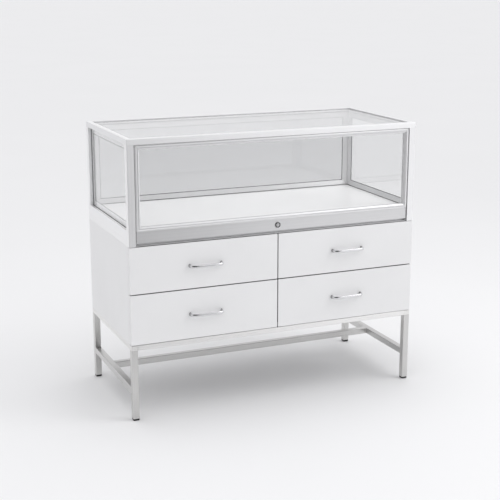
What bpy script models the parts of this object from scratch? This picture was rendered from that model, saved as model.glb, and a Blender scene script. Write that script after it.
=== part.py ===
"""Glass display case: a lockable glass showcase on a four-drawer cabinet and a steel tube stand.

Metres, +Z up, front towards -Y. The origin lies on the floor, under the middle of the whole
object's box, pull handles included.
"""

import math

import bmesh
import bpy
from mathutils import Vector

# Overall sizes
WIDTH = 1.200
DEPTH = 0.550
HEIGHT = 1.080
BASE_HEIGHT = 0.300
CASE_HEIGHT = 0.400

# Gap left between pieces that rest on or sit in each other
SEAT = 0.0003

# Stand of square steel tube
TUBE = 0.025
TUBE_WALL = 0.0015
TUBE_ROUND = 0.002
APRON_HEIGHT = 0.020
STRETCHER_TOP = 0.131
STRETCHER_SETBACK = 0.315
GLIDE_HEIGHT = 0.008
GLIDE_MARGIN = 0.0008
GLIDE_ROUND = 0.003
GLIDE_PLUG = 0.018

# Cabinet of white board
BOARD = 0.018
BACK_BOARD = 0.008
BOARD_EDGE = 0.0006
FRONT_BOARD = 0.018
FRONT_EDGE = 0.0012
FRONT_GAP = 0.004
FRONT_END_GAP = 0.0015
FRONT_STANDOFF = 0.002
LOWER_ROW_SHARE = 0.52

# Drawer boxes and the runners that sit in their side grooves
BOX_LENGTH = 0.450
BOX_ROOM = 0.021
BOX_WALL = 0.015
BOX_BOTTOM = 0.006
BOX_UNDERSIDE = 0.008
BOX_CLEARANCE = 0.0015
RUNNER_LENGTH = 0.440
RUNNER_HEIGHT = 0.016
RUNNER_THICKNESS = 0.009
RUNNER_SETBACK = 0.010
RUNNER_SLACK = 0.0008

# Bow pull handles
HANDLE_CENTRES = 0.128
HANDLE_REACH = 0.030
HANDLE_BAR_HEIGHT = 0.012
HANDLE_BAR_DEPTH = 0.008
HANDLE_FOOT_HEIGHT = 0.015
HANDLE_FOOT_DEPTH = 0.010
HANDLE_SQUARENESS = 5

# Aluminium showcase profiles and the glass they hold
POST = 0.027
POST_ROUND = 0.0025
TOP_RAIL = 0.021
TOP_RAIL_ROUND = 0.002
SILL_HEIGHT = 0.060
SILL_WALL = 0.0025
GLASS_LIP = 0.0127
GLASS_REBATE = 0.005
GLASS = 0.006
GLASS_ARRIS = 0.0008
TOP_GLASS_DROP = 0.0045
TOP_GLASS_LEDGE = 0.008
BEAD_WIDTH = 0.022
BEAD_FLAT = 0.004
BEAD_NOSE = 0.002
DECK = 0.018
DECK_GAP = 0.001
DECK_LEDGE = 0.012
DECK_STRIP = 0.018

# Top-hung front door
DOOR_SIDE_GAP = 0.004
DOOR_SWING_CLEARANCE = 0.0006
DOOR_BOTTOM_GAP = 0.0115
DOOR_RECESS = 0.001
DOOR_DEPTH = 0.020
DOOR_BAR = 0.017
DOOR_LIP = 0.008
DOOR_EDGE = 0.0008
DOOR_REVEAL = 0.0035
DOOR_REVEAL_DEPTH = 0.0035
DOOR_SLOPE = 0.005
DOOR_NOSE = 0.003
DOOR_GROOVE = 0.006
LOCK_RAIL_HEIGHT = 0.044
LOCK_RAIL_RECESS = 0.004
LOCK_RAIL_WALL = 0.0025
PIVOT_INSET = 0.0055
PIVOT_DIAMETER = 0.005
PIVOT_IN_POST = 0.012
PIVOT_IN_DOOR = 0.014

# Cam lock in the door and the keeper angle that its cam drops behind
LOCK_DIAMETER = 0.019
LOCK_BEZEL_DIAMETER = 0.024
LOCK_BEZEL = 0.002
LOCK_TAIL = 0.004
PLUG_DIAMETER = 0.013
PLUG_SQUARE = 0.008
KEYWAY_WIDTH = 0.0022
KEYWAY_HEIGHT = 0.0085
KEYWAY_DEPTH = 0.006
CAM_WIDTH = 0.014
CAM_THICKNESS = 0.0025
CAM_TIP_CLEARANCE = 0.004
KEEPER_GAP = 0.0015
KEEPER_WALL = 0.002
KEEPER_FOOT = 0.014
KEEPER_CLEARANCE = 0.004
KEEPER_ROOM = 0.006

# Points on a quarter of a round outline, and along a handle
QUARTER_STEPS = 6
SMALL_ROUND_STEPS = 3
HANDLE_STEPS = 28
HANDLE_SIDES = 12

# Planes of the object, worked out from the sizes above
LEFT = -WIDTH / 2
RIGHT = WIDTH / 2
FRONT = (HANDLE_REACH - DEPTH) / 2
BACK = FRONT + DEPTH
CABINET_TOP = HEIGHT - CASE_HEIGHT
CABINET_FRONT = FRONT + FRONT_BOARD + FRONT_STANDOFF
DRAWER_BOX_FRONT = FRONT + FRONT_BOARD + SEAT
ROW_JOINT = BASE_HEIGHT + LOWER_ROW_SHARE * (CABINET_TOP - BASE_HEIGHT)
SILL_FOOT = CABINET_TOP + SEAT
SILL_TOP = SILL_FOOT + SILL_HEIGHT
RAIL_BOTTOM = HEIGHT - TOP_RAIL
PANE_FACE = GLASS_LIP + SEAT
BEAD_FACE = PANE_FACE + GLASS + SEAT
DOOR_LEFT = LEFT + POST + DOOR_SIDE_GAP
DOOR_RIGHT = -DOOR_LEFT
DOOR_FRONT = FRONT + DOOR_RECESS
DOOR_BACK = DOOR_FRONT + DOOR_DEPTH
DOOR_TOP_GAP = math.hypot(PIVOT_INSET, PIVOT_INSET) - PIVOT_INSET + DOOR_SWING_CLEARANCE
DOOR_TOP = RAIL_BOTTOM - DOOR_TOP_GAP
DOOR_BOTTOM = CABINET_TOP + DOOR_BOTTOM_GAP
DOOR_FRAME_BOTTOM = DOOR_BOTTOM + LOCK_RAIL_HEIGHT + SEAT
PIVOT_AXIS = Vector((0, DOOR_FRONT + PIVOT_INSET, DOOR_TOP - PIVOT_INSET))
LOCK_AXIS = Vector((0, DOOR_FRONT, DOOR_BOTTOM + LOCK_RAIL_HEIGHT / 2))
KEEPER_FRONT = DOOR_BACK + KEEPER_GAP
DECK_FRONT = KEEPER_FRONT + KEEPER_WALL + KEEPER_ROOM


def clear_scene():
    for item in list(bpy.data.objects):
        bpy.data.objects.remove(item, do_unlink=True)


def finish(name, colour, roughness, metallic=0.0, transmission=0.0):
    """A plain surface: linear colour, roughness, metal and how much light passes."""
    material = bpy.data.materials.new(name)
    material.use_nodes = True
    shader = material.node_tree.nodes["Principled BSDF"]
    shader.inputs["Base Color"].default_value = (*colour, 1.0)
    shader.inputs["Roughness"].default_value = roughness
    shader.inputs["Metallic"].default_value = metallic
    shader.inputs["Transmission Weight"].default_value = transmission
    return material


def place(item, at, under=None):
    """Put an object's origin at a world point, under an unturned parent if it has one."""
    bpy.context.scene.collection.objects.link(item)
    item.parent = under
    item.location = Vector(at)
    while under is not None:
        item.location -= under.location
        under = under.parent
    return item


def axis_empty(name, at, under=None):
    """A joint's axis, which carries the pieces that move on it."""
    return place(bpy.data.objects.new(name, None), at, under)


def add_piece(name, bm, at, surface, under=None, smooth_below=None):
    """Turn a finished bmesh, drawn round its own origin, into a named object."""
    bmesh.ops.recalc_face_normals(bm, faces=bm.faces[:])
    mesh = bpy.data.meshes.new(name)
    bm.to_mesh(mesh)
    bm.free()
    mesh.materials.append(surface)
    if smooth_below is not None:
        mesh.shade_smooth()
        mesh.set_sharp_from_angle(angle=math.radians(smooth_below))
    return place(bpy.data.objects.new(name, mesh), at, under)


def combine(piece, other, operation):
    """Join another object to a piece or cut it out, and keep the other only as a guide."""
    other.hide_render = True
    other.display_type = "WIRE"
    step = piece.modifiers.new(f"{operation.lower()} {other.name}", "BOOLEAN")
    step.operation = operation
    step.solver = "EXACT"
    step.object = other


def loft(rings, closed=False):
    """Skin rings of equally many points, capped at both ends or joined round into a loop."""
    bm = bmesh.new()
    loops = [[bm.verts.new(point) for point in ring] for ring in rings]
    pairs = list(zip(loops, loops[1:]))
    if closed:
        pairs.append((loops[-1], loops[0]))
    for first, second in pairs:
        for i in range(len(first)):
            j = (i + 1) % len(first)
            bm.faces.new((first[i], first[j], second[j], second[i]))
    if not closed:
        bm.faces.new(loops[0])
        bm.faces.new(loops[-1])
    return bm


def arc(centre, radius, start, end, steps):
    """Points on a circular arc, with its angles in degrees."""
    turn = [math.radians(start + (end - start) * i / steps) for i in range(steps + 1)]
    return [(centre[0] + radius * math.cos(t), centre[1] + radius * math.sin(t)) for t in turn]


def rounded_rectangle(width, height, radius, steps=QUARTER_STEPS):
    """An outline about its own middle, with round corners."""
    x = width / 2 - radius
    z = height / 2 - radius
    corners = [((x, z), 0), ((-x, z), 90), ((-x, -z), 180), ((x, -z), 270)]
    return [point for centre, turn in corners for point in arc(centre, radius, turn, turn + 90, steps)]


def circle(diameter, steps=QUARTER_STEPS):
    """A round outline with as many points as a rounded rectangle of the same steps."""
    count = 4 * (steps + 1)
    turn = [2 * math.pi * i / count for i in range(count)]
    return [(math.cos(t) * diameter / 2, math.sin(t) * diameter / 2) for t in turn]


def mirrored(outline, first, second):
    return [(a * first, b * second) for a, b in outline]


def across(outline, axis, distance):
    """Set a flat outline across an axis: the other two axes take its points, in order."""
    order = {"X": (2, 0, 1), "Y": (0, 2, 1), "Z": (0, 1, 2)}[axis]
    return [Vector([(a, b, distance)[k] for k in order]) for a, b in outline]


def extrusion(outline, axis, length):
    """A straight bar of one outline, from its origin along the axis."""
    return loft([across(outline, axis, 0), across(outline, axis, length)])


def hollow_bar(outer, inner, axis, length):
    """A straight tube, open at both ends."""
    rings = [across(outer, axis, 0), across(outer, axis, length)]
    rings += [across(inner, axis, length), across(inner, axis, 0)]
    return loft(rings, closed=True)


def turned(profile, axis, closed=False):
    """Turn points of (diameter, distance) round an axis."""
    return loft([across(circle(width), axis, distance) for width, distance in profile], closed)


def mitred_frame(width, height, profile, axis):
    """Run a profile of (inset, depth) round a rectangle, mitred at its corners."""
    rings = []
    for a, b in ((-1, -1), (1, -1), (1, 1), (-1, 1)):
        ring = []
        for inset, depth in profile:
            corner = (a * (width / 2 - inset), b * (height / 2 - inset))
            ring += across([corner], axis, depth)
        rings.append(ring)
    return loft(rings, closed=True)


def block(low, high):
    """A box as a bmesh about its own middle, and that middle."""
    low, high = Vector(low), Vector(high)
    bm = bmesh.new()
    bmesh.ops.create_cube(bm, size=1.0)
    bmesh.ops.scale(bm, vec=high - low, verts=bm.verts[:])
    return bm, (low + high) / 2


def panel(name, low, high, surface, edge, steps=1, under=None):
    """A flat panel with eased edges, given by its lowest and highest corners."""
    bm, middle = block(low, high)
    bmesh.ops.bevel(bm, geom=bm.edges[:], offset=edge, segments=steps, profile=0.5, affect="EDGES")
    return add_piece(name, bm, middle, surface, under)


def tube_outline(height, inset=0.0):
    """The section of a stand tube, or of its bore when drawn in by the wall."""
    radius = max(TUBE_ROUND - inset, SEAT)
    return rounded_rectangle(TUBE - 2 * inset, height - 2 * inset, radius, SMALL_ROUND_STEPS)


def end_frame(side, name, steel):
    """Two legs, an end apron and a low rail, welded into one frame with open leg feet."""
    x = side * (RIGHT - TUBE / 2)
    leg_front = FRONT + TUBE / 2
    leg_back = BACK - TUBE / 2
    leg_length = BASE_HEIGHT - GLIDE_HEIGHT - SEAT
    leg_foot = BASE_HEIGHT - leg_length
    bores = []
    frame = None
    for label, y in (("front", leg_front), ("back", leg_back)):
        bm = extrusion(tube_outline(TUBE), "Z", leg_length)
        guide = add_piece(f"{name}_{label}_leg", bm, (x, y, leg_foot), steel)
        if frame is None:
            frame = guide
            frame.name = name
        else:
            combine(frame, guide, "UNION")
        bore_length = leg_length - TUBE_WALL + SEAT
        bm = extrusion(tube_outline(TUBE, TUBE_WALL), "Z", bore_length)
        bores.append(add_piece(f"{name}_{label}_leg_bore", bm, (x, y, leg_foot - SEAT), steel))
    span = leg_back - leg_front
    for label, top, height in (("apron", BASE_HEIGHT, APRON_HEIGHT), ("low_rail", STRETCHER_TOP, TUBE)):
        z = top - height / 2
        bm = extrusion(tube_outline(height), "Y", span)
        combine(frame, add_piece(f"{name}_{label}", bm, (x, leg_front, z), steel), "UNION")
        bm = extrusion(tube_outline(height, TUBE_WALL), "Y", span)
        bores.append(add_piece(f"{name}_{label}_bore", bm, (x, leg_front, z), steel))
    for bore in bores:
        combine(frame, bore, "DIFFERENCE")


def cross_tube(name, y, z, height, steel):
    """A straight tube between the two end frames."""
    start = LEFT + TUBE + SEAT
    bm = hollow_bar(tube_outline(height), tube_outline(height, TUBE_WALL), "X", -2 * start)
    add_piece(name, bm, (start, y, z), steel)


def glide(name, x, y, plastic):
    """A push-in foot: a square base with a round lower edge, and a plug inside the leg."""
    base = TUBE - 2 * GLIDE_MARGIN
    flat = base - 2 * GLIDE_ROUND
    edge = arc((0, GLIDE_ROUND), GLIDE_ROUND, 270, 360, SMALL_ROUND_STEPS)
    widths = [(flat + 2 * out, z) for out, z in edge] + [(base, GLIDE_HEIGHT)]
    rings = [across(rounded_rectangle(w, w, TUBE_ROUND, SMALL_ROUND_STEPS), "Z", z) for w, z in widths]
    plug = tube_outline(TUBE, TUBE_WALL + SEAT)
    rings += [across(plug, "Z", GLIDE_HEIGHT), across(plug, "Z", GLIDE_HEIGHT + GLIDE_PLUG)]
    add_piece(name, loft(rings), (x, y, 0), plastic)


def build_stand(steel, plastic):
    end_frame(-1, "left_end_frame", steel)
    end_frame(1, "right_end_frame", steel)
    apron_z = BASE_HEIGHT - APRON_HEIGHT / 2
    cross_tube("front_apron_rail", FRONT + TUBE / 2, apron_z, APRON_HEIGHT, steel)
    cross_tube("rear_apron_rail", BACK - TUBE / 2, apron_z, APRON_HEIGHT, steel)
    stretcher_y = FRONT + STRETCHER_SETBACK + TUBE / 2
    cross_tube("cross_stretcher", stretcher_y, STRETCHER_TOP - TUBE / 2, TUBE, steel)
    for depth_word, y in (("front", FRONT + TUBE / 2), ("rear", BACK - TUBE / 2)):
        for side_word, x in (("left", LEFT + TUBE / 2), ("right", RIGHT - TUBE / 2)):
            glide(f"glide_{depth_word}_{side_word}", x, y, plastic)


def build_cabinet(white):
    """The white carcass: two sides, bottom, top, back and a middle divider."""
    floor = BASE_HEIGHT + SEAT
    inner = RIGHT - BOARD - SEAT
    shelf_low = floor + BOARD
    shelf_high = CABINET_TOP - BOARD
    back_face = BACK - BACK_BOARD
    boards = {
        "cabinet_left_side": ((LEFT, CABINET_FRONT, floor), (LEFT + BOARD, BACK, CABINET_TOP)),
        "cabinet_right_side": ((RIGHT - BOARD, CABINET_FRONT, floor), (RIGHT, BACK, CABINET_TOP)),
        "cabinet_bottom": ((-inner, CABINET_FRONT, floor), (inner, BACK, shelf_low)),
        "cabinet_top": ((-inner, CABINET_FRONT, shelf_high), (inner, BACK, CABINET_TOP)),
        "cabinet_back": ((-inner, back_face, shelf_low + SEAT), (inner, BACK, shelf_high - SEAT)),
        "cabinet_divider": (
            (-BOARD / 2, CABINET_FRONT, shelf_low + SEAT),
            (BOARD / 2, back_face - SEAT, shelf_high - SEAT),
        ),
    }
    for name, (low, high) in boards.items():
        panel(name, low, high, white, BOARD_EDGE)


def drawer_box(name, low, high, runner_low, runner_high, board, under):
    """An open tray with a raised bottom and a groove in each side, open to the back."""
    bm, middle = block(low, high)
    inner_depth = high[2] - low[2] - BOX_UNDERSIDE - BOX_BOTTOM
    for up, depth in ((1, inner_depth), (-1, BOX_UNDERSIDE)):
        face = max(bm.faces, key=lambda f: f.calc_center_median().z * up)
        bmesh.ops.inset_region(bm, faces=[face], thickness=BOX_WALL)
        sunk = bmesh.ops.extrude_discrete_faces(bm, faces=[face])["faces"][0]
        bmesh.ops.translate(bm, vec=(0, 0, -up * depth), verts=sunk.verts[:])
    box = add_piece(name, bm, middle, board, under)
    groove = SEAT + RUNNER_THICKNESS - BOX_CLEARANCE + RUNNER_SLACK
    start = CABINET_FRONT + RUNNER_SETBACK - RUNNER_SLACK
    end = high[1] + RUNNER_SLACK
    for label, x in (("l", low[0]), ("r", high[0])):
        groove_low = (x - groove, start, runner_low - RUNNER_SLACK)
        groove_high = (x + groove, end, runner_high + SEAT)
        bm, at = block(groove_low, groove_high)
        combine(box, add_piece(f"{name}_{label}_groove", bm, at, board, under), "DIFFERENCE")


def bow_handle(name, x, z, metal, under):
    """A bow pull: an oval bar along a squared arch, a little wider at its two feet."""
    foot_y = FRONT - SEAT
    reach = HANDLE_REACH - SEAT - HANDLE_BAR_DEPTH / 2
    power = 2 / HANDLE_SQUARENESS

    def on_arch(turn):
        span = math.copysign(abs(math.cos(turn)) ** power, math.cos(turn))
        return Vector((-HANDLE_CENTRES / 2 * span, -reach * math.sin(turn) ** power, 0))

    path = [on_arch(math.pi * i / HANDLE_STEPS) for i in range(HANDLE_STEPS + 1)]
    round_bar = [2 * math.pi * k / HANDLE_SIDES for k in range(HANDLE_SIDES)]
    rings = []
    for i, point in enumerate(path):
        along = (path[min(i + 1, HANDLE_STEPS)] - path[max(i - 1, 0)]).normalized()
        if i == 0:
            along = Vector((0, -1, 0))
        if i == HANDLE_STEPS:
            along = Vector((0, 1, 0))
        swell = ((reach + point.y) / reach) ** 2
        depth = HANDLE_BAR_DEPTH + (HANDLE_FOOT_DEPTH - HANDLE_BAR_DEPTH) * swell
        height = HANDLE_BAR_HEIGHT + (HANDLE_FOOT_HEIGHT - HANDLE_BAR_HEIGHT) * swell
        out = Vector((-along.y, along.x, 0)) * depth / 2
        up = Vector((0, 0, height / 2))
        rings.append([point + out * math.cos(t) + up * math.sin(t) for t in round_bar])
    add_piece(name, loft(rings), (x, foot_y, z), metal, under, smooth_below=50)


def build_drawers(white, box_board, runner_plastic, metal):
    """Four drawers on groove runners, each with its front, box and pull handle."""
    bay = (LEFT + BOARD, -BOARD / 2)
    rows = {
        "lower": (BASE_HEIGHT + FRONT_END_GAP, ROW_JOINT - FRONT_GAP / 2, BASE_HEIGHT + BOARD, ROW_JOINT),
        "upper": (ROW_JOINT + FRONT_GAP / 2, CABINET_TOP - FRONT_END_GAP, ROW_JOINT, CABINET_TOP - BOARD),
    }
    for row, (front_low, front_high, bay_low, bay_high) in rows.items():
        runner_low = (bay_low + bay_high - RUNNER_HEIGHT) / 2
        runner_high = runner_low + RUNNER_HEIGHT
        for side, word in ((1, "left"), (-1, "right")):
            label = f"{row}_{word}"
            front_x = sorted((side * LEFT, -side * FRONT_GAP / 2))
            bay_x = sorted((side * bay[0], side * bay[1]))
            middle = Vector((sum(front_x) / 2, FRONT, (front_low + front_high) / 2))
            slide = axis_empty(f"slide_{label}", middle)
            panel(
                f"drawer_front_{label}",
                (front_x[0], FRONT, front_low),
                (front_x[1], FRONT + FRONT_BOARD, front_high),
                white, FRONT_EDGE, 2, slide,
            )
            drawer_box(
                f"drawer_box_{label}",
                (bay_x[0] + BOX_CLEARANCE, DRAWER_BOX_FRONT, bay_low + BOX_ROOM),
                (bay_x[1] - BOX_CLEARANCE, DRAWER_BOX_FRONT + BOX_LENGTH, bay_high - BOX_ROOM),
                runner_low, runner_high, box_board, slide,
            )
            bow_handle(f"drawer_handle_{label}", middle.x, middle.z, metal, slide)
            for where, wall, inward in (("l", bay_x[0], 1), ("r", bay_x[1], -1)):
                x = sorted((wall + inward * SEAT, wall + inward * (SEAT + RUNNER_THICKNESS)))
                start = CABINET_FRONT + RUNNER_SETBACK
                panel(
                    f"runner_{label}_{where}",
                    (x[0], start, runner_low),
                    (x[1], start + RUNNER_LENGTH, runner_high),
                    runner_plastic, BOARD_EDGE,
                )


def post_outline(at_front):
    """A corner post's section, its outer corner at 0, with a rebate for each pane beside it."""
    outline = arc((POST_ROUND, POST_ROUND), POST_ROUND, 180, 270, SMALL_ROUND_STEPS)
    step = POST - GLASS_REBATE
    outline += [(POST, 0)]
    if at_front:
        outline += [(POST, step)]
    else:
        outline += [(POST, GLASS_LIP), (step, GLASS_LIP), (step, step)]
    return outline + [(GLASS_LIP, step), (GLASS_LIP, POST), (0, POST)]


def sill_outline(ledge):
    """A sill's section from its outer foot: a channel, a rebate for the pane and a deck ledge."""
    ledge_top = SILL_HEIGHT - DECK - SEAT
    floor = SILL_HEIGHT - GLASS_REBATE
    outline = [(0, 0), (POST, 0), (POST, SILL_WALL), (SILL_WALL, SILL_WALL)]
    outline += [(SILL_WALL, ledge_top - SILL_WALL), (POST + ledge, ledge_top - SILL_WALL)]
    outline += [(POST + ledge, ledge_top)]
    if ledge:
        outline += [(POST, ledge_top)]
    outline += [(POST, floor), (GLASS_LIP, floor), (GLASS_LIP, SILL_HEIGHT)]
    return outline + [(BOARD_EDGE, SILL_HEIGHT), (0, SILL_HEIGHT - BOARD_EDGE)]


def bead_profile():
    """A glazing bead's section: flat against the glass, sloping to a thin nose."""
    depth = POST - BEAD_FACE
    return [(0, 0), (BEAD_WIDTH, 0), (BEAD_WIDTH, BEAD_NOSE), (BEAD_FLAT, depth), (0, depth)]


def top_frame_profile():
    """The top frame's section: round outer edges, a rebate below for panes and one above."""
    shelf = TOP_RAIL - TOP_GLASS_DROP - GLASS - SEAT
    r = TOP_RAIL_ROUND
    profile = [(0, 0), (GLASS_LIP, 0), (GLASS_LIP, GLASS_REBATE), (POST, GLASS_REBATE), (POST, shelf)]
    profile += [(POST - TOP_GLASS_LEDGE, shelf), (POST - TOP_GLASS_LEDGE, TOP_RAIL)]
    return profile + arc((r, TOP_RAIL - r), r, 90, 180, SMALL_ROUND_STEPS)


def build_showcase(aluminium, glass):
    """Posts, sills, top frame and four fixed panes with their beads."""
    for at_front, depth_word in ((True, "front"), (False, "rear")):
        for side, word in ((1, "left"), (-1, "right")):
            outline = mirrored(post_outline(at_front), side, 1 if at_front else -1)
            corner = (side * LEFT, FRONT if at_front else BACK, SILL_FOOT)
            bm = extrusion(outline, "Z", RAIL_BOTTOM - SEAT - SILL_FOOT)
            post = add_piece(f"case_post_{depth_word}_{word}", bm, corner, aluminium)
            if at_front:
                pivot_bore(post, side, LEFT + POST - PIVOT_IN_POST, aluminium)

    side_start = FRONT + POST + SEAT
    side_length = DEPTH - 2 * (POST + SEAT)
    rear_start = LEFT + POST + SEAT
    pane_low = SILL_TOP - GLASS_REBATE + SEAT
    pane_high = RAIL_BOTTOM + GLASS_REBATE - SEAT
    pane_edge = POST - GLASS_REBATE + SEAT
    opening = RAIL_BOTTOM - SILL_TOP - 2 * SEAT
    opening_middle = (RAIL_BOTTOM + SILL_TOP) / 2
    for side, word in ((1, "left"), (-1, "right")):
        bm = extrusion(mirrored(sill_outline(0), side, 1), "Y", side_length)
        add_piece(f"case_sill_{word}", bm, (side * LEFT, side_start, SILL_FOOT), aluminium)
        x = sorted((side * (LEFT + PANE_FACE), side * (LEFT + PANE_FACE + GLASS)))
        panel(
            f"glass_{word}",
            (x[0], FRONT + pane_edge, pane_low),
            (x[1], BACK - pane_edge, pane_high),
            glass, GLASS_ARRIS,
        )
        profile = mirrored(bead_profile(), 1, side)
        bm = mitred_frame(side_length, opening, profile, "X")
        at = (side * (LEFT + BEAD_FACE), (FRONT + BACK) / 2, opening_middle)
        add_piece(f"glazing_bead_{word}", bm, at, aluminium)

    bm = extrusion(mirrored(sill_outline(DECK_LEDGE), -1, 1), "X", -2 * rear_start)
    add_piece("case_sill_rear", bm, (rear_start, BACK, SILL_FOOT), aluminium)
    panel(
        "glass_rear",
        (LEFT + pane_edge, BACK - PANE_FACE - GLASS, pane_low),
        (RIGHT - pane_edge, BACK - PANE_FACE, pane_high),
        glass, GLASS_ARRIS,
    )
    bm = mitred_frame(-2 * rear_start, opening, mirrored(bead_profile(), 1, -1), "Y")
    add_piece("glazing_bead_rear", bm, (0, BACK - BEAD_FACE, opening_middle), aluminium)

    bm = mitred_frame(WIDTH, DEPTH, top_frame_profile(), "Z")
    add_piece("case_top_frame", bm, (0, (FRONT + BACK) / 2, RAIL_BOTTOM), aluminium)
    top_edge = POST - TOP_GLASS_LEDGE + SEAT
    top_face = HEIGHT - TOP_GLASS_DROP
    panel(
        "glass_top",
        (LEFT + top_edge, FRONT + top_edge, top_face - GLASS),
        (RIGHT - top_edge, BACK - top_edge, top_face),
        glass, GLASS_ARRIS,
    )


def display_deck(white):
    """The white deck: a board with a strip glued under its front edge, standing on the cabinet."""
    edge = POST + DECK_GAP
    depth = BACK - edge - DECK_FRONT
    underside = SILL_HEIGHT - DECK
    outline = [(0, 0), (DECK_STRIP, 0), (DECK_STRIP, underside), (depth, underside)]
    outline += [(depth, SILL_HEIGHT - BOARD_EDGE), (depth - BOARD_EDGE, SILL_HEIGHT)]
    outline += [(BOARD_EDGE, SILL_HEIGHT), (0, SILL_HEIGHT - BOARD_EDGE)]
    bm = extrusion(outline, "X", WIDTH - 2 * edge)
    add_piece("display_deck", bm, (LEFT + edge, DECK_FRONT, SILL_FOOT), white)


def keeper_angle(aluminium):
    """The front sill: an angle whose upright stops the door and catches the lock's cam."""
    lip_height = LOCK_AXIS.z - SILL_FOOT - LOCK_DIAMETER / 2 - KEEPER_CLEARANCE
    outline = [(-KEEPER_FOOT, 0), (KEEPER_WALL, 0), (KEEPER_WALL, lip_height), (0, lip_height)]
    outline += [(0, KEEPER_WALL), (-KEEPER_FOOT, KEEPER_WALL)]
    start = LEFT + POST + SEAT
    bm = extrusion(outline, "X", -2 * start)
    add_piece("case_sill_front", bm, (start, KEEPER_FRONT, SILL_FOOT), aluminium)


def pivot_bore(piece, side, inner_end, surface):
    """Bore a piece for a pivot pin, from a plane in one side to beyond the door's end."""
    bore = PIVOT_DIAMETER + 2 * SEAT
    start = inner_end - SEAT
    length = PIVOT_IN_POST + DOOR_SIDE_GAP + PIVOT_IN_DOOR + 2 * SEAT
    bm = extrusion(circle(bore), "X", side * length)
    at = (side * start, PIVOT_AXIS.y, PIVOT_AXIS.z)
    combine(piece, add_piece(f"{piece.name}_pivot_bore_{side}", bm, at, surface), "DIFFERENCE")


def build_door(aluminium, glass, steel, hinge):
    """A mitred frame with a reveal, a bead and a grooved pane, hung on two pins, and a lock rail."""
    groove_front = DOOR_SLOPE + DOOR_NOSE
    groove_back = groove_front + GLASS + 2 * SEAT
    groove_floor = DOOR_BAR - DOOR_GROOVE
    bead = DOOR_LIP + DOOR_REVEAL
    profile = [(0, DOOR_EDGE), (DOOR_EDGE, 0), (DOOR_LIP - DOOR_EDGE, 0), (DOOR_LIP, DOOR_EDGE)]
    profile += [(DOOR_LIP, DOOR_REVEAL_DEPTH), (bead, DOOR_REVEAL_DEPTH)]
    profile += [(bead, DOOR_EDGE), (DOOR_BAR, DOOR_SLOPE)]
    profile += [(DOOR_BAR, groove_front), (groove_floor, groove_front)]
    profile += [(groove_floor, groove_back), (DOOR_BAR, groove_back)]
    profile += [(DOOR_BAR, DOOR_DEPTH), (0, DOOR_DEPTH)]
    width = DOOR_RIGHT - DOOR_LEFT
    height = DOOR_TOP - DOOR_FRAME_BOTTOM
    middle = (0, DOOR_FRONT, (DOOR_TOP + DOOR_FRAME_BOTTOM) / 2)
    frame = add_piece("door_frame", mitred_frame(width, height, profile, "Y"), middle, aluminium, hinge)
    for side in (1, -1):
        pivot_bore(frame, side, LEFT + POST - PIVOT_IN_POST, aluminium)

    pane_inset = groove_floor + SEAT
    panel(
        "door_glass",
        (DOOR_LEFT + pane_inset, DOOR_FRONT + groove_front + SEAT, DOOR_FRAME_BOTTOM + pane_inset),
        (DOOR_RIGHT - pane_inset, DOOR_FRONT + groove_back - SEAT, DOOR_TOP - pane_inset),
        glass, GLASS_ARRIS, 1, hinge,
    )

    wall = LOCK_RAIL_WALL
    face = LOCK_RAIL_RECESS
    outline = [(face, 0), (DOOR_DEPTH, 0), (DOOR_DEPTH, wall), (face + wall, wall)]
    outline += [(face + wall, LOCK_RAIL_HEIGHT - wall), (DOOR_DEPTH, LOCK_RAIL_HEIGHT - wall)]
    outline += [(DOOR_DEPTH, LOCK_RAIL_HEIGHT), (face, LOCK_RAIL_HEIGHT)]
    bm = extrusion(outline, "X", width)
    rail = add_piece("door_lock_rail", bm, (DOOR_LEFT, DOOR_FRONT, DOOR_BOTTOM), aluminium, hinge)
    bm = extrusion(circle(LOCK_DIAMETER + 2 * SEAT), "Y", DOOR_DEPTH)
    combine(rail, add_piece("door_lock_rail_hole", bm, LOCK_AXIS, aluminium, hinge), "DIFFERENCE")

    for side, word in ((1, "left"), (-1, "right")):
        start = LEFT + POST - PIVOT_IN_POST
        length = PIVOT_IN_POST + DOOR_SIDE_GAP + PIVOT_IN_DOOR
        bm = extrusion(circle(PIVOT_DIAMETER), "X", side * length)
        at = (side * start, PIVOT_AXIS.y, PIVOT_AXIS.z)
        add_piece(f"door_pivot_{word}", bm, at, steel, None, smooth_below=40)


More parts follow.
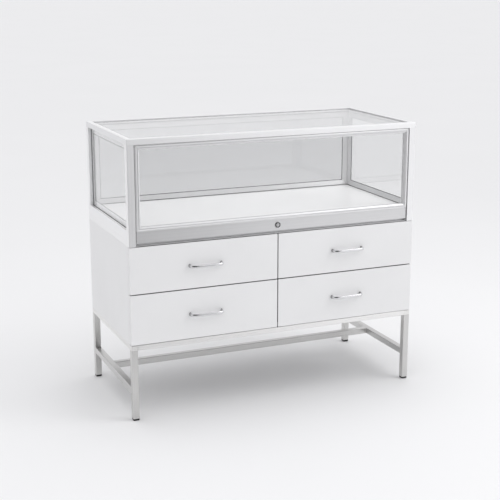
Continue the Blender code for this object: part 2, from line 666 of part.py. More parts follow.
def build_lock(chrome, steel, hinge):
    """A cam lock: a bored body fixed in the rail, and a plug that turns with its cam."""
    seat = LOCK_RAIL_RECESS - SEAT
    nose = seat - LOCK_BEZEL
    tail = DOOR_DEPTH + LOCK_TAIL
    bore = PLUG_DIAMETER + 2 * SEAT
    body = [(bore, nose), (LOCK_BEZEL_DIAMETER - LOCK_BEZEL, nose)]
    body += [(LOCK_BEZEL_DIAMETER, nose + LOCK_BEZEL / 2), (LOCK_BEZEL_DIAMETER, seat)]
    body += [(LOCK_DIAMETER, seat), (LOCK_DIAMETER, tail), (bore, tail)]
    add_piece("lock_body", turned(body, "Y", closed=True), LOCK_AXIS, chrome, hinge, smooth_below=40)

    turn = axis_empty("lock_turn", LOCK_AXIS, hinge)
    cam_front = tail + SEAT
    cam_back = cam_front + CAM_THICKNESS
    square = rounded_rectangle(PLUG_SQUARE, PLUG_SQUARE, SEAT)
    barrel = circle(PLUG_DIAMETER)
    rings = [across(barrel, "Y", nose), across(barrel, "Y", tail)]
    rings += [across(square, "Y", tail), across(square, "Y", cam_back + SEAT)]
    plug = add_piece("lock_plug", loft(rings), LOCK_AXIS, chrome, turn, smooth_below=40)
    slot = rounded_rectangle(KEYWAY_WIDTH, KEYWAY_HEIGHT, SEAT, SMALL_ROUND_STEPS)
    bm = extrusion(slot, "Y", nose + KEYWAY_DEPTH)
    combine(plug, add_piece("lock_plug_keyway", bm, LOCK_AXIS, chrome, turn), "DIFFERENCE")

    reach = LOCK_AXIS.z - CABINET_TOP - CAM_TIP_CLEARANCE
    tip = CAM_WIDTH / 2
    outline = arc((0, 0), tip, 90, 270, 2 * QUARTER_STEPS)
    outline += arc((reach - tip, 0), tip, -90, 90, 2 * QUARTER_STEPS)
    bm = loft([across(outline, "Y", cam_front), across(outline, "Y", cam_back)])
    cam = add_piece("lock_cam", bm, LOCK_AXIS, steel, turn, smooth_below=40)
    hole = PLUG_SQUARE + 2 * SEAT
    bm = extrusion(rounded_rectangle(hole, hole, SEAT), "Y", cam_back + LOCK_TAIL)
    combine(cam, add_piece("lock_cam_hole", bm, LOCK_AXIS, steel, turn), "DIFFERENCE")


def main():
    clear_scene()
    steel = finish("brushed_steel", (0.56, 0.55, 0.53), 0.32, metallic=1.0)
    plastic = finish("black_plastic", (0.015, 0.015, 0.016), 0.45)
    white = finish("white_laminate", (0.80, 0.80, 0.81), 0.42)
    box_board = finish("drawer_board", (0.74, 0.74, 0.73), 0.50)
    runner_plastic = finish("runner_plastic", (0.45, 0.45, 0.46), 0.40)
    aluminium = finish("satin_aluminium", (0.74, 0.75, 0.77), 0.34, metallic=1.0)
    glass = finish("clear_glass", (0.90, 0.95, 0.94), 0.02, transmission=1.0)
    chrome = finish("satin_chrome", (0.68, 0.68, 0.69), 0.20, metallic=1.0)
    build_stand(steel, plastic)
    build_cabinet(white)
    build_drawers(white, box_board, runner_plastic, chrome)
    build_showcase(aluminium, glass)
    display_deck(white)
    keeper_angle(aluminium)
    hinge = axis_empty("door_hinge", PIVOT_AXIS)
    build_door(aluminium, glass, steel, hinge)
    build_lock(chrome, steel, hinge)


main()
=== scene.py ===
"""Looks of the glass display case: finishes, finer pulls, door frame and lock, seals, studio and camera.

Metres, +Z up, front towards -Y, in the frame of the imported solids. How dense a noise is, as in clouds, marks
and grain, is given in waves to a metre, and a shade is a factor on a colour.
"""

import math

import bmesh
import bpy
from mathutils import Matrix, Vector


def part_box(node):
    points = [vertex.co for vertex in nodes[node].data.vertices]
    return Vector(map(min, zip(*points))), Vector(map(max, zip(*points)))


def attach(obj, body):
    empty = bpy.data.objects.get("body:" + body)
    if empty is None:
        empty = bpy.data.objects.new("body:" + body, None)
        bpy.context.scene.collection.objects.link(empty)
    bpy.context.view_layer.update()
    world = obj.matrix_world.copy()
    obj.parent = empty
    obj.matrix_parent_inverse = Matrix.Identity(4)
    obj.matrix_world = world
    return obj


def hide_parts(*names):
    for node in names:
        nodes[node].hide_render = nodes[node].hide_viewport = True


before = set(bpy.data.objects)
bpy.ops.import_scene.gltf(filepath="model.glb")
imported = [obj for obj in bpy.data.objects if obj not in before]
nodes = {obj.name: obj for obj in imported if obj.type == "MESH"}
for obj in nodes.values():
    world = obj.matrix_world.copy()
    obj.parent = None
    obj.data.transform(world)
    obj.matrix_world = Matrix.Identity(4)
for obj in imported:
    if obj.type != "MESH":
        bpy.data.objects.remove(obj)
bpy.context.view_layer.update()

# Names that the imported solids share
SIDES = ("left", "right")
CORNERS = [f"{end}_{side}" for end in ("front", "rear") for side in SIDES]
DRAWERS = [f"{row}_{side}" for row in ("lower", "upper") for side in SIDES]

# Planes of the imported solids
TOP_LOW, TOP_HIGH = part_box("case_top_frame")
LEFT, FRONT, RAIL_BOTTOM = TOP_LOW
RIGHT, BACK, _ = TOP_HIGH
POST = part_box("case_post_front_left")[1].x - LEFT
SILL_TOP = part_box("case_sill_left")[1].z
APRON_LOW, APRON_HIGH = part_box("front_apron_rail")
STRETCHER_LOW, STRETCHER_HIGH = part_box("cross_stretcher")
TUBE = STRETCHER_HIGH.z - STRETCHER_LOW.z

# Camera, fitted to the corners of the case; angles in degrees, lens and sensor in millimetres
CAMERA_PLACE = (-1.7585, -4.1154, 1.672)
CAMERA_LENS = 81.0255
CAMERA_SENSOR = 36.0
CAMERA_TILT = 75.9835
CAMERA_TURN = -23.0443

# Floor, a touch lighter near the camera than far off
FLOOR_RADIUS = 150.0
FLOOR_SEGMENTS = 64
FLOOR_COLOUR = (0.865, 0.865, 0.872)
FLOOR_ROUGHNESS = 0.7
FLOOR_SPECULAR = 0.2
FLOOR_CLOUDS = 0.8
FLOOR_CLOUD_SHADE = (0.995, 1.005)
FLOOR_SHADE = (1.02, 0.995)
FLOOR_SHADE_PLACE = (-1.5, 3.0)

# Sky: its light from the horizon up to the zenith, and the plain backdrop that is seen of it
SKY_HORIZON = 0.50
SKY_ZENITH = 1.25
SKY_COLOUR = (0.99, 0.99, 1.0)
SKY_SEEN = (0.853, 0.854, 0.870)

# Soft key lamp at the front right; power in watts, spread in degrees
KEY_POWER = 13.0
KEY_SPREAD = 100.0
KEY_SIZE = (2.4, 2.4)
KEY_PLACE = (3.2, -2.2, 3.2)
KEY_TARGET = (0.0, 0.0, 0.5)

# Front of the studio as metal mirrors it, dim at the left and lit at the right: shades, the bearings
# (sideways over ahead) that they spread over, and where along Y the front begins and is full
DIM_LEFT = 0.12
LIT_RIGHT = 1.12
DIM_BEARING = (0.09, 0.45)
DIM_FLOOR_AHEAD = (-2.2, -1.0)
DIM_SKY_AHEAD = (-0.6, -0.2)

# Span that most of a noise lies in, and the facing beyond which a surface counts as turned one way
NOISE_LOW = 0.3
NOISE_HIGH = 0.7
TURNED = 0.5

# Lines in drawn and brushed metal: fine ones, and broader ones under them
LINE_LENGTHWAYS = 4.0
LINE_BROADER = 6
LINE_FINE_SHARE = 0.6
LINE_SHADE = (0.95, 1.04)
LINE_GLOSS = 0.05
LINE_DEPTH = 0.0002
HAIRLINE = 0.0003
SEAM_SHADE = 0.45

# Satin anodised aluminium, in lighter and darker copies that stand in for light and shade: lit on the posts,
# side sills and top frame, shaded on the lock rail; glazing tape on the beads of the side panes is lighter by
# a factor
ALUMINIUM = (0.82, 0.82, 0.825)
SHADED_ALUMINIUM = (0.70, 0.70, 0.705)
BEAD_ALUMINIUM = (0.72, 0.72, 0.725)
LIT_ALUMINIUM = (0.91, 0.91, 0.915)
LIT_TOP_ALUMINIUM = (0.96, 0.96, 0.965)
ALUMINIUM_LINES = 900.0
ALUMINIUM_RELIEF = 0.06
ALUMINIUM_ROUGHNESS = 0.34
ALUMINIUM_MATT = 0.45
# Painted shade on the top frame's two ends
END_SHADE = 0.87
TAPE_LIFT = 1.30

# Brushed stainless tube, lighter on the aprons
STEEL = (0.645, 0.64, 0.63)
APRON_STEEL = (0.85, 0.845, 0.835)
APRON_LIFT = 1.26
STEEL_LINES = 1100.0
STEEL_RELIEF = 0.1
STEEL_ROUGHNESS = 0.30

# Laminated board, with a grey backing underneath and painted shade that greys the joints between the drawer
# fronts
WHITE = (0.84, 0.84, 0.845)
# Deck white: a lighter copy of the white laminate that stands in for light lost through the glass
DECK_LIT_WHITE = (0.94, 0.94, 0.94)
# Divider grey: painted shade, seen through the upright joint between the drawer fronts
DIVIDER_SHADE_GREY = (0.36, 0.36, 0.36)
DRAWER_WHITE = (0.74, 0.74, 0.73)
WHITE_ROUGHNESS = 0.42
DECK_ROUGHNESS = 0.30
DIVIDER_ROUGHNESS = 0.5
DRAWER_ROUGHNESS = 0.52
BOARD_UNEVEN = 0.05
DECK_UNEVEN = 0.01
BOARD_SPECULAR = 0.4
BOARD_CLOUDS = 5.0
BOARD_CLOUD_SHADE = (0.985, 1.01)
BOARD_WIPES = (18.0, 18.0, 9.0)
PEARL = 1400.0
PEARL_RELIEF = 0.08
PEARL_DEPTH = 0.0001
BACKING_SHADE = 0.43
BACKING_FACING = (-0.8, -0.2)
JOINT_MARGIN = 0.0015
JOINT_PAINTED_SHADE = 0.45
JOINT_FOOT = 0.02

# Float glass
CLEAR_GLASS = (0.937, 0.939, 0.940)
TOP_GLASS = (0.989, 0.990, 0.991)
GREY_GLASS = (0.730, 0.733, 0.736)
GREY_GLASS_FADE = 0.03
GLASS_SHINE_THROUGH = (0.995, 0.995, 0.995)
GLASS_IOR = 1.5
GLASS_MARKS = (9.0, 9.0, 26.0)
GLASS_MARK_SHADE = (0.995, 1.005)

# Chrome and zinc, with handling marks and a fine grain; painted shade darkens the pulls near their feet and
# the lock in its keyway and behind its face
HANDLE_CHROME = (0.74, 0.74, 0.75)
HANDLE_ROUGHNESS = 0.16
HANDLE_SHADE_REACH = 0.020
HANDLE_FOOT_SHADE = 0.30
ZINC = (0.55, 0.55, 0.56)
ZINC_ROUGHNESS = 0.35
CHROME_MARKS = 60.0
CHROME_MARK_SHADE = (0.97, 1.02)
CHROME_GLOSS = (-0.04, 0.06)
CHROME_GRAIN = 1500.0
CHROME_GRAIN_RELIEF = 0.03
CHROME_GRAIN_DEPTH = 0.0001
PLUG_CHROME = (0.66, 0.66, 0.67)
PLUG_ROUGHNESS = 0.2
RING_CHROME = (0.30, 0.30, 0.305)
RING_ROUGHNESS = 0.12
LOCK_MARKS = 200.0
LOCK_MARK_SHADE = (0.94, 1.03)
LOCK_GLOSS = (-0.04, 0.08)
# Painted shade of the lock's keyway and of all that lies behind its face
LOCK_SUNK_SHADE = 0.05

# Plastics: colour, roughness and grain
RUNNER_GREY = ((0.45, 0.45, 0.46), 0.40, 700.0)
GLIDE_BLACK = ((0.018, 0.018, 0.019), 0.45, 900.0)
SEAL_DARK = ((0.07, 0.07, 0.072), 0.55, 1200.0)
SEAL_PALE = ((0.40, 0.40, 0.405), 0.55, 1200.0)
PLASTIC_SCUFFS = 90.0
PLASTIC_SCUFF_SHADE = (0.85, 1.2)
PLASTIC_GLOSS = (-0.06, 0.08)
PLASTIC_RELIEF = 0.2
PLASTIC_DEPTH = 0.0002

# Seals between glass and profiles, and a dark strip of painted shadow along the deck's edge
SEAL = 0.0014
SEAL_SHOULDER = 0.7
INNER_SEAL = 0.0022
SEAL_GAP = 0.0002
BEAD_WIDTH = 0.022
DECK_STRIP_WIDTH = 0.0012
DECK_STRIP_HEIGHT = 0.0022

# Lock ring round the plug
LOCK_SIDES = 72
LOCK_BULGE_STEPS = 16
LOCK_SLACK = 0.0003
LOCK_SUNK_RING = 0.0012
LOCK_SUNK_DEPTH = 0.0016
LOCK_BARREL = 0.019

# Door frame's section, from its outer edge inwards and from its face backwards
DOOR_BAR = 0.017
DOOR_LIP = 0.008
DOOR_LIP_ROUND = 0.0026
DOOR_LIP_STEPS = 12
DOOR_REVEAL = 0.0035
DOOR_REVEAL_DEPTH = 0.0035
DOOR_BEAD_FACE = 0.0008
DOOR_SLOPE = 0.005
DOOR_NOSE = 0.003
DOOR_GROOVE = 0.006

# Pull handles, on the arch of the solids that they stand for
HANDLE_CENTRES = 0.128
HANDLE_BAR_HEIGHT = 0.012
HANDLE_BAR_DEPTH = 0.008
HANDLE_FOOT_HEIGHT = 0.015
HANDLE_FOOT_DEPTH = 0.010
HANDLE_SQUARENESS = 5
HANDLE_STEPS = 120
HANDLE_SIDES = 40

# Angle, in degrees, over which an edge of a new piece stays sharp
SHARP_ANGLE = 40


def set_inputs(tree, node, inputs):
    """Fill a node's inputs: a socket gets linked, and any other value sits on the input itself."""
    for key, value in inputs.items():
        if isinstance(value, bpy.types.NodeSocket):
            tree.links.new(value, node.inputs[key])
        else:
            node.inputs[key].default_value = value


def add_node(tree, kind, inputs=None, **settings):
    """A shader node with its settings and inputs."""
    node = tree.nodes.new(kind)
    for key, value in settings.items():
        setattr(node, key, value)
    set_inputs(tree, node, inputs or {})
    return node


def new_material(name):
    """A new material, its node tree and its Principled shader."""
    material = bpy.data.materials.new(name)
    material.use_nodes = True
    return material, material.node_tree, material.node_tree.nodes["Principled BSDF"]


def math_node(tree, operation, *values):
    """The result of one operation on numbers or sockets."""
    return add_node(tree, "ShaderNodeMath", dict(enumerate(values)), operation=operation).outputs[0]


def product(tree, first, *others):
    """Numbers or sockets, multiplied."""
    for other in others:
        first = math_node(tree, "MULTIPLY", first, other)
    return first


def gap_between(tree, first, second):
    """How far two values lie apart."""
    return math_node(tree, "ABSOLUTE", math_node(tree, "SUBTRACT", first, second))


def split(tree, vector):
    """The three parts of a vector."""
    return add_node(tree, "ShaderNodeSeparateXYZ", {0: vector}).outputs


def place_in_object(tree):
    """A point's place in the object, in metres."""
    return add_node(tree, "ShaderNodeTexCoord").outputs["Object"]


def facing_parts(tree):
    """The three parts of the way that a surface faces, in the object's own axes."""
    return split(tree, add_node(tree, "ShaderNodeTexCoord").outputs["Normal"])


def noise(tree, place, density, detail=2.0, roughness=0.5):
    """Noise with so many waves to a metre, alike on all axes or given for each."""
    each = density if isinstance(density, (list, tuple)) else (density, density, density)
    scaled = add_node(tree, "ShaderNodeVectorMath", {0: place, 1: each}, operation="MULTIPLY")
    inputs = {"Vector": scaled.outputs[0], "Scale": 1.0, "Detail": detail, "Roughness": roughness}
    return add_node(tree, "ShaderNodeTexNoise", inputs).outputs["Fac"]


def remap(tree, value, low, high, start=NOISE_LOW, end=NOISE_HIGH):
    """A value between start and end, spread from low to high."""
    inputs = {"Value": value, "From Min": start, "From Max": end, "To Min": low, "To Max": high}
    return add_node(tree, "ShaderNodeMapRange", inputs).outputs["Result"]


def tint(tree, colour, factor):
    """A colour, made lighter or darker by a factor that changes over the surface."""
    return add_node(tree, "ShaderNodeVectorMath", {0: colour, 1: factor}, operation="MULTIPLY").outputs[0]


def pick(tree, factor, first, second):
    """One value where the factor is 0 and another where it is 1."""
    return add_node(tree, "ShaderNodeMix", {0: factor, 2: first, 3: second}).outputs[0]


def bump(tree, height, strength, distance):
    """A normal that follows a fine relief."""
    inputs = {"Height": height, "Strength": strength, "Distance": distance}
    return add_node(tree, "ShaderNodeBump", inputs).outputs["Normal"]


def streaks(tree, place, axis, across):
    """Fine lines along one axis: long in it, with so many to a metre across it."""
    density = [across, across, across]
    density["XYZ".index(axis)] = LINE_LENGTHWAYS
    fine = noise(tree, place, density, detail=3.0, roughness=0.6)
    broad = noise(tree, place, [d / LINE_BROADER for d in density])
    fine_part = math_node(tree, "MULTIPLY", fine, LINE_FINE_SHARE)
    return math_node(tree, "MULTIPLY_ADD", broad, 1 - LINE_FINE_SHARE, fine_part)


def edge_inset(tree, part, low, high):
    """How far a point lies inside the nearer of two planes across an axis."""
    return math_node(tree, "SUBTRACT", (high - low) / 2, gap_between(tree, part, (low + high) / 2))


def mitred_streaks(tree, place, node, axes):
    """Lines along the bars of a rectangular frame, and where its mitres are."""
    low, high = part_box(node)
    parts = split(tree, place)
    insets = []
    for axis in axes:
        k = "XYZ".index(axis)
        insets.append(edge_inset(tree, parts[k], low[k], high[k]))
    nearer = math_node(tree, "LESS_THAN", insets[0], insets[1])
    along_first, along_second = [streaks(tree, place, axis, ALUMINIUM_LINES) for axis in axes]
    lines = pick(tree, nearer, along_first, along_second)
    return lines, math_node(tree, "LESS_THAN", gap_between(tree, *insets), HAIRLINE)


def metal(tree, shader, lines, colour, roughness, relief, matt=0.0, wiped=None, seam=None, tape=None):
    """Streaked metal: its colour, gloss and surface follow the same lines, and tape hides them; painted shade
    can darken some faces.
    """
    shade = remap(tree, lines, *LINE_SHADE)
    metallic = 1.0 - matt
    if wiped is not None:
        shade = product(tree, shade, pick(tree, wiped, END_SHADE, 1.0))
    if seam is not None:
        shade = pick(tree, seam, shade, SEAM_SHADE)
    if tape is not None:
        shade = pick(tree, tape, shade, TAPE_LIFT)
        metallic = pick(tree, tape, metallic, 0.0)
    set_inputs(tree, shader, {
        "Base Color": tint(tree, colour, shade),
        "Metallic": metallic,
        "Roughness": remap(tree, lines, roughness - LINE_GLOSS, roughness + LINE_GLOSS),
        "Normal": bump(tree, lines, relief, LINE_DEPTH),
    })


def aluminium(tree, shader, lines, colour, **marks):
    """The case's satin aluminium over given lines."""
    metal(tree, shader, lines, colour, ALUMINIUM_ROUGHNESS, ALUMINIUM_RELIEF, ALUMINIUM_MATT, **marks)


def aluminium_bar(name, axis, colour=ALUMINIUM):
    """Aluminium with drawing lines along one axis."""
    material, tree, shader = new_material(name)
    aluminium(tree, shader, streaks(tree, place_in_object(tree), axis, ALUMINIUM_LINES), colour)
    return material


def glass_side(tree):
    """Where a side pane's bead has pale tape: on the face towards the nearer end of the case."""
    along = split(tree, place_in_object(tree))[0]
    return math_node(tree, "GREATER_THAN", product(tree, along, facing_parts(tree)[0]), RIGHT / 2)


def wiped_sides(tree):
    """Where the top frame keeps its full tone: all round but on its two ends, which get painted shade."""
    return math_node(tree, "LESS_THAN", math_node(tree, "ABSOLUTE", facing_parts(tree)[0]), TURNED)


def aluminium_frame(node, axes, colour=ALUMINIUM, taped=False, shaded_ends=False):
    """Aluminium on a mitred frame, with a hairline at each mitre."""
    material, tree, shader = new_material(f"aluminium_{node}")
    lines, seam = mitred_streaks(tree, place_in_object(tree), node, axes)
    tape = glass_side(tree) if taped else None
    wiped = wiped_sides(tree) if shaded_ends else None
    aluminium(tree, shader, lines, colour, wiped=wiped, seam=seam, tape=tape)
    return material


def steel_bar(name, axis, colour):
    """Stainless tube, brushed along one axis."""
    material, tree, shader = new_material(name)
    lines = streaks(tree, place_in_object(tree), axis, STEEL_LINES)
    metal(tree, shader, lines, colour, STEEL_ROUGHNESS, STEEL_RELIEF)
    return material


def steel_end_frame():
    """A welded end frame: legs brushed upright, rails brushed front to back, ground seams between."""
    material, tree, shader = new_material("steel_end_frame")
    place = place_in_object(tree)
    parts = split(tree, place)
    below_apron = math_node(tree, "LESS_THAN", parts[2], APRON_LOW.z)
    near_end = math_node(tree, "LESS_THAN", edge_inset(tree, parts[1], FRONT, BACK), TUBE)
    along_rail, along_leg = [streaks(tree, place, axis, STEEL_LINES) for axis in "YZ"]
    lines = pick(tree, product(tree, near_end, below_apron), along_rail, along_leg)
    seam = math_node(tree, "LESS_THAN", gap_between(tree, parts[2], APRON_LOW.z), HAIRLINE)
    colour = tint(tree, STEEL, pick(tree, below_apron, APRON_LIFT, 1.0))
    metal(tree, shader, lines, colour, STEEL_ROUGHNESS, STEEL_RELIEF, seam=seam)
    return material


def dark_underside(tree):
    """The raw grey backing under the cabinet's bottom."""
    return remap(tree, facing_parts(tree)[2], BACKING_SHADE, 1.0, *BACKING_FACING)


def shaded_joints(tree):
    """Painted shade in the joints between the drawer fronts, greying their meeting edges behind the face, and
    none on their outer ends and lower edges.
    """
    parts = split(tree, place_in_object(tree))
    behind = remap(tree, parts[1], 1.0, JOINT_PAINTED_SHADE, FRONT + JOINT_MARGIN, FRONT + 2 * JOINT_MARGIN)
    on_edge = math_node(tree, "LESS_THAN", math_node(tree, "ABSOLUTE", facing_parts(tree)[1]), TURNED)
    between = math_node(tree, "LESS_THAN", math_node(tree, "ABSOLUTE", parts[0]), RIGHT - JOINT_MARGIN)
    above = math_node(tree, "GREATER_THAN", parts[2], APRON_HIGH.z + JOINT_FOOT)
    return pick(tree, product(tree, on_edge, between, above), 1.0, behind)


def board(name, colour, roughness, uneven=BOARD_UNEVEN, shading=None):
    """White laminate: faint cloudiness, a fine pearl texture and a slightly uneven gloss."""
    material, tree, shader = new_material(name)
    place = place_in_object(tree)
    shade = remap(tree, noise(tree, place, BOARD_CLOUDS, detail=3.0), *BOARD_CLOUD_SHADE)
    if shading:
        shade = product(tree, shade, shading(tree))
    wipes = noise(tree, place, BOARD_WIPES, detail=4.0)
    set_inputs(tree, shader, {
        "Base Color": tint(tree, colour, shade),
        "Roughness": remap(tree, wipes, roughness - uneven, roughness + uneven),
        "Specular IOR Level": BOARD_SPECULAR,
        "Normal": bump(tree, noise(tree, place, PEARL), PEARL_RELIEF, PEARL_DEPTH),
    })
    return material


def float_glass(name, colour, fade=0.0):
    """Glass of a faint tint that fades downwards, with faint wiping marks; lamps shine through it."""
    material, tree, shader = new_material(name)
    place = place_in_object(tree)
    marks = noise(tree, place, GLASS_MARKS, detail=4.0, roughness=0.6)
    shade = remap(tree, split(tree, place)[2], 1.0 + fade, 1.0 - fade, SILL_TOP, RAIL_BOTTOM)
    shade = product(tree, shade, remap(tree, marks, *GLASS_MARK_SHADE))
    set_inputs(tree, shader, {
        "Base Color": tint(tree, colour, shade),
        "Roughness": 0.0,
        "IOR": GLASS_IOR,
        "Transmission Weight": 1.0,
    })
    clear = add_node(tree, "ShaderNodeBsdfTransparent", {"Color": (*GLASS_SHINE_THROUGH, 1.0)}).outputs[0]
    path = add_node(tree, "ShaderNodeLightPath").outputs
    shown = shader.outputs[0]
    for ray in ("Is Shadow Ray", "Is Diffuse Ray"):
        shown = add_node(tree, "ShaderNodeMixShader", {0: path[ray], 1: shown, 2: clear}).outputs[0]
    tree.links.new(shown, tree.nodes["Material Output"].inputs["Surface"])
    return material


def chrome(name, colour, roughness, foot_shade=1.0):
    """Satin chrome with soft handling marks; where a foot shade is given, painted shade darkens it near the
    drawer fronts.
    """
    material, tree, shader = new_material(name)
    place = place_in_object(tree)
    marks = noise(tree, place, CHROME_MARKS, detail=4.0)
    # Painted shade: darker near the drawer fronts, at the pulls' feet
    shade = remap(tree, split(tree, place)[1], 1.0, foot_shade, FRONT - HANDLE_SHADE_REACH, FRONT)
    shade = product(tree, shade, remap(tree, marks, *CHROME_MARK_SHADE))
    grain = noise(tree, place, CHROME_GRAIN)
    set_inputs(tree, shader, {
        "Base Color": tint(tree, colour, shade),
        "Metallic": 1.0,
        "Roughness": remap(tree, marks, *[roughness + change for change in CHROME_GLOSS]),
        "Normal": bump(tree, grain, CHROME_GRAIN_RELIEF, CHROME_GRAIN_DEPTH),
    })
    return material


def lock_chrome(name, colour, roughness):
    """Chrome of the lock, with painted shade that makes it dark in the keyway and wherever it lies behind the
    lock's face.
    """
    material, tree, shader = new_material(name)
    place = place_in_object(tree)
    marks = noise(tree, place, LOCK_MARKS, detail=4.0)
    sunk = math_node(tree, "SUBTRACT", split(tree, place)[1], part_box("lock_plug")[0].y)
    # Painted shade in the keyway and behind the lock's face
    shade = remap(tree, sunk, 1.0, LOCK_SUNK_SHADE, LOCK_SUNK_DEPTH / 2, LOCK_SUNK_DEPTH)
    shade = product(tree, shade, remap(tree, marks, *LOCK_MARK_SHADE))
    set_inputs(tree, shader, {
        "Base Color": tint(tree, colour, shade),
        "Metallic": 1.0,
        "Roughness": remap(tree, marks, *[roughness + change for change in LOCK_GLOSS]),
    })
    return material


def plastic(name, colour, roughness, density):
    """Moulded plastic with a fine grain and scuffs."""
    material, tree, shader = new_material(name)
    place = place_in_object(tree)
    grain = noise(tree, place, density, detail=3.0)
    scuffs = noise(tree, place, PLASTIC_SCUFFS, detail=4.0)
    set_inputs(tree, shader, {
        "Base Color": tint(tree, colour, remap(tree, scuffs, *PLASTIC_SCUFF_SHADE)),
        "Roughness": remap(tree, grain, *[roughness + change for change in PLASTIC_GLOSS]),
        "Normal": bump(tree, grain, PLASTIC_RELIEF, PLASTIC_DEPTH),
    })
    return material


def wear(names, material):
    """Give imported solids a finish."""
    for name in names:
        nodes[name].material_slots[0].material = material


def finish_metal():
    """The finish of the case's aluminium, the stand's steel and the small steel parts."""
    # The side sills, posts and top frame wear a lit copy of the aluminium, and the lock rail a shaded copy
    side_sill = aluminium_bar("aluminium_side_sill", "Y", LIT_ALUMINIUM)
    side_bead = aluminium_frame("glazing_bead_left", "ZY", BEAD_ALUMINIUM, taped=True)
    posts = aluminium_bar("aluminium_post", "Z", LIT_ALUMINIUM)
    wear([f"case_post_{corner}" for corner in CORNERS], posts)
    wear([f"case_sill_{side}" for side in SIDES], side_sill)
    wear(["case_sill_rear"], aluminium_bar("aluminium_rear_sill", "X"))
    wear(["case_sill_front"], aluminium_bar("aluminium_keeper", "X"))
    # The top frame's two ends get painted shade
    wear(["case_top_frame"], aluminium_frame("case_top_frame", "YX", LIT_TOP_ALUMINIUM, shaded_ends=True))
    wear(["glazing_bead_rear"], aluminium_frame("glazing_bead_rear", "ZX", BEAD_ALUMINIUM))
    wear([f"glazing_bead_{side}" for side in SIDES], side_bead)
    wear(["door_lock_rail"], aluminium_bar("aluminium_lock_rail", "X", SHADED_ALUMINIUM))
    wear([f"{side}_end_frame" for side in SIDES], steel_end_frame())
    wear(["front_apron_rail", "rear_apron_rail"], steel_bar("steel_apron", "X", APRON_STEEL))
    wear(["cross_stretcher"], steel_bar("steel_stretcher", "X", STEEL))
    wear(["lock_plug"], lock_chrome("lock_plug_chrome", PLUG_CHROME, PLUG_ROUGHNESS))
    wear(["lock_cam", "door_pivot_left", "door_pivot_right"], chrome("zinc", ZINC, ZINC_ROUGHNESS))


def finish_boards():
    """The finish of the cabinet, the drawers and the display deck."""
    white = board("white_laminate", WHITE, WHITE_ROUGHNESS)
    backed = board("backed_laminate", WHITE, WHITE_ROUGHNESS, shading=dark_underside)
    # Painted shade in the joints between the drawer fronts
    fronts = board("front_laminate", WHITE, WHITE_ROUGHNESS, shading=shaded_joints)
    boxes = board("drawer_board", DRAWER_WHITE, DRAWER_ROUGHNESS)
    wear(["cabinet_left_side", "cabinet_right_side", "cabinet_top", "cabinet_back"], white)
    wear(["cabinet_bottom"], backed)
    # The divider's grey is painted shade behind the upright joint between the fronts
    wear(["cabinet_divider"], board("grey_laminate", DIVIDER_SHADE_GREY, DIVIDER_ROUGHNESS))
    # The deck wears a lighter copy of the white laminate, standing in for light lost through the glass
    wear(["display_deck"], board("deck_laminate", DECK_LIT_WHITE, DECK_ROUGHNESS, DECK_UNEVEN))
    wear([f"drawer_front_{drawer}" for drawer in DRAWERS], fronts)
    wear([f"drawer_box_{drawer}" for drawer in DRAWERS], boxes)


def finish_glass_and_plastic():
    """The finish of the panes, the drawer runners and the glides."""
    runners = [f"runner_{drawer}_{wall}" for drawer in DRAWERS for wall in "lr"]
    wear(["glass_left", "glass_right", "door_glass"], float_glass("clear_glass", CLEAR_GLASS))
    wear(["glass_top"], float_glass("top_glass", TOP_GLASS))
    wear(["glass_rear"], float_glass("grey_glass", GREY_GLASS, GREY_GLASS_FADE))
    wear(runners, plastic("runner_grey", *RUNNER_GREY))
    wear([f"glide_{corner}" for corner in CORNERS], plastic("glide_black", *GLIDE_BLACK))


def add_piece(name, bm, material, body, smooth=True):
    """A new piece from a finished bmesh, riding on a body."""
    bmesh.ops.recalc_face_normals(bm, faces=bm.faces[:])
    mesh = bpy.data.meshes.new(name)
    bm.to_mesh(mesh)
    bm.free()
    mesh.materials.append(material)
    if smooth:
        mesh.shade_smooth()
        mesh.set_sharp_from_angle(angle=math.radians(SHARP_ANGLE))
    piece = bpy.data.objects.new(name, mesh)
    bpy.context.scene.collection.objects.link(piece)
    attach(piece, body)
    return piece


def loft(rings, closed=False):
    """A skin over rings of equally many points, capped at both ends or joined round into a loop."""
    bm = bmesh.new()
    loops = [[bm.verts.new(point) for point in ring] for ring in rings]
    pairs = list(zip(loops, loops[1:]))
    if closed:
        pairs.append((loops[-1], loops[0]))
    for first, second in pairs:
        for i in range(len(first)):
            j = (i + 1) % len(first)
            bm.faces.new((first[i], first[j], second[j], second[i]))
    if not closed:
        bm.faces.new(loops[0])
        bm.faces.new(loops[-1])
    return bm


def half_turn(steps):
    """Angles from 0 to half a turn, both included."""
    return [math.pi * i / steps for i in range(steps + 1)]


def full_turn(steps):
    """Angles once round, the last one short of the first."""
    return [2 * math.pi * i / steps for i in range(steps)]


def rectangle_corners(low, high, first, second):
    """The four corners across two axes, in turn, each with its two ways towards the middle."""
    for a, b in ((0, 0), (1, 0), (1, 1), (0, 1)):
        yield (low, high)[a][first], (low, high)[b][second], 1 - 2 * a, 1 - 2 * b


def bow_path(reach):
    """The middle line of a bow pull: a squarish arch from foot to foot."""
    power = 2 / HANDLE_SQUARENESS
    path = []
    for turn in half_turn(HANDLE_STEPS):
        span = math.copysign(abs(math.cos(turn)) ** power, math.cos(turn))
        path.append(Vector((-HANDLE_CENTRES / 2 * span, -reach * math.sin(turn) ** power, 0)))
    return path


